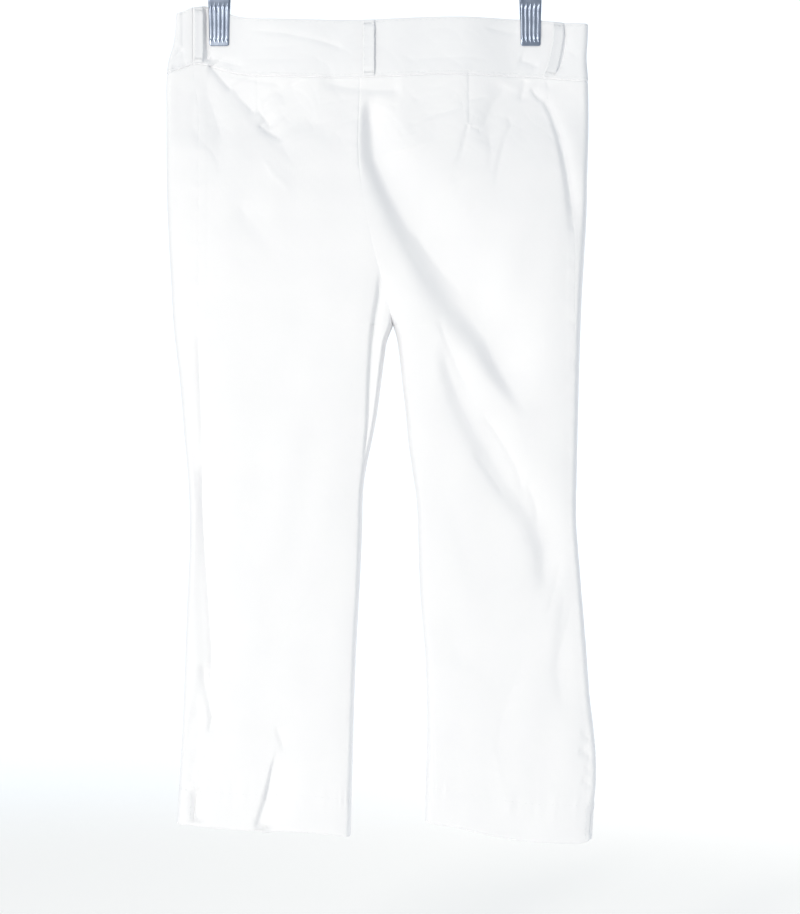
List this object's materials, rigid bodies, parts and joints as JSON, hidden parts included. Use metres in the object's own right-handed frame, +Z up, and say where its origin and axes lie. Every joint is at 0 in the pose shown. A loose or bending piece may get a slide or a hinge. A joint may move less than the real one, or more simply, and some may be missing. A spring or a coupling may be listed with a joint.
{
  "type": "cropped bermuda trousers on a clip hanger",
  "caption": "Flat cropped cotton trousers, hollow from the open waist to the open hems, held by the waistband in the clips of a wire hanger.",
  "frame": {"origin": "where the top of the hanger hook's inside bears on its rail", "axes": "+Z up, -Y out of the back of the trousers, +X to the right as one looks at the back"},
  "size_m": [0.4296, 0.0715, 0.9319],
  "materials": {
    "cotton": "white stretch cotton satin, soft and matt",
    "steel": "blue grey plated steel",
    "spring_steel": "bright coiled spring wire",
    "resin": "white resin, half gloss"
  },
  "bodies": {
    "root": {"back_left": "cotton", "back_right": "cotton", "front_left": "cotton", "front_right": "cotton", "waistband_back": "cotton", "waistband_front_left": "cotton", "waistband_front_right": "cotton", "belt_loop_back": "cotton", "belt_loop_left_side": "cotton", "belt_loop_right_side": "cotton", "belt_loop_left_front": "cotton", "belt_loop_right_front": "cotton", "hanger_bar": "steel", "hanger_hook": "steel", "clip_left_back_jaw": "steel", "clip_left_front_jaw": "steel", "clip_right_back_jaw": "steel", "clip_right_front_jaw": "steel", "clip_left_spring": "spring_steel", "clip_right_spring": "spring_steel", "waist_button": "resin"}
  },
  "joints": []
}
